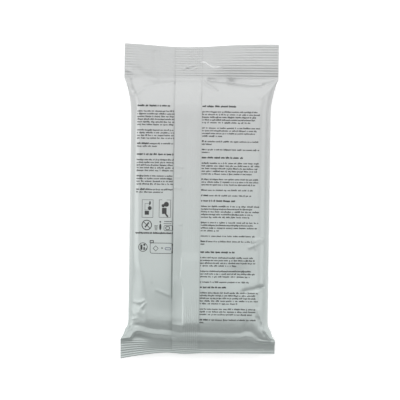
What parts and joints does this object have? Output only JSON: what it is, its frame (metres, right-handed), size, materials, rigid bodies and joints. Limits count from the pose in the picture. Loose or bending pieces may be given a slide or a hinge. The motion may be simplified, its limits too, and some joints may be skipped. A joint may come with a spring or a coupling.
{
  "type": "wet wipes pack",
  "caption": "Sealed flow-wrap pack of wet wipes: soft pillow body, crimped end seals, a fin seal folded over along the back, and a hang slit in the top seal.",
  "frame": {"origin": "middle of the pack's length and width, on the surface it lies on", "axes": "+Z out of the pack's back, +Y towards the end with the hang slit, +X to the right when looking down on the back"},
  "size_m": [0.1072, 0.22, 0.0206],
  "materials": {
    "film": "satin packaging film, pale grey with a faint green cast",
    "print": "dark grey ink under the film's gloss"
  },
  "bodies": {
    "root": {"pack": "film"}
  },
  "joints": []
}
